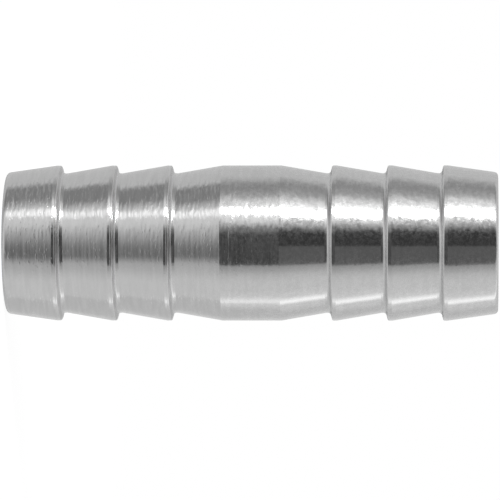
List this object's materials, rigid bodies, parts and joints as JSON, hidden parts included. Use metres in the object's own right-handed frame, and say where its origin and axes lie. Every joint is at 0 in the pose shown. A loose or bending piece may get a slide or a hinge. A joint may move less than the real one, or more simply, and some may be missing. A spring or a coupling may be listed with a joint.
{
  "type": "hose connector",
  "caption": "Straight double-ended hose connector: a turned metal tube with a plain centre collar and stepped barbed tails that grip a hose pushed on at each end.",
  "frame": {"origin": "middle of the lower end face, on the bore's axis", "axes": "+Z along the bore's axis from the lower end face to the upper one; X and Y are any two square directions across it, because the part is round"},
  "size_m": [0.014, 0.014, 0.0443],
  "materials": {
    "turned_metal": "bright turned metal with fine turning marks round the axis and a slightly speckled polish"
  },
  "bodies": {
    "root": {"hose_connector": "turned_metal"}
  },
  "joints": []
}
